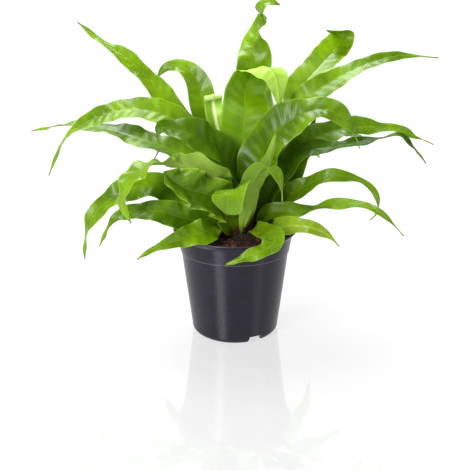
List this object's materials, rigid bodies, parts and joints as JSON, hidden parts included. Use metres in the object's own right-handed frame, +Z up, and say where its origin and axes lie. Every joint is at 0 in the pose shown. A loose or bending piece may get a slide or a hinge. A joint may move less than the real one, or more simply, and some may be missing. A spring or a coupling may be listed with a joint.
{
  "type": "potted bird's nest fern",
  "caption": "Rosette of waved strap fronds on a short crown, growing in a round tapered nursery pot filled with coir and peat.",
  "frame": {"origin": "centre of the pot's underside, on the flat pad that it stands on", "axes": "+Z up; +X to the right and -Y towards the viewer, as the fern is usually seen"},
  "size_m": [0.3953, 0.2502, 0.3186],
  "materials": {
    "pot_plastic": "satin",
    "medium": "matte",
    "crown": "matte",
    "frond": "satin"
  },
  "bodies": {
    "root": {"pot": "pot_plastic", "soil": "medium", "crown": "crown", "frond_left_high": "frond", "frond_back_left_folded": "frond", "frond_young_rolled": "frond", "frond_centre_broad": "frond", "frond_young_small": "frond", "frond_back_tall": "frond", "frond_right_spoon": "frond", "frond_right_high": "frond", "frond_right_arching": "frond", "frond_young_front": "frond", "frond_right_short": "frond", "frond_right_long": "frond", "frond_right_long_under": "frond", "frond_right_low_hooked": "frond", "frond_right_low_twisted": "frond", "frond_right_old": "frond", "frond_front_right_over_rim": "frond", "frond_front_left_over_rim": "frond", "frond_front_folded": "frond", "frond_front_underside": "frond", "frond_left_front_arch": "frond", "frond_left_low_long": "frond", "frond_left_low_short": "frond", "frond_left_ruffled": "frond", "frond_left_arching": "frond", "frond_left_long": "frond", "frond_left_broad": "frond", "frond_rear_right_low": "frond", "frond_rear_right": "frond", "frond_rear_middle": "frond", "frond_rear_left": "frond", "frond_rear_left_low": "frond", "frond_rear_left_high": "frond", "frond_rear_upright": "frond", "frond_rear_right_arching": "frond", "frond_rear_drooping": "frond", "frond_rear_right_upright": "frond"}
  },
  "joints": []
}
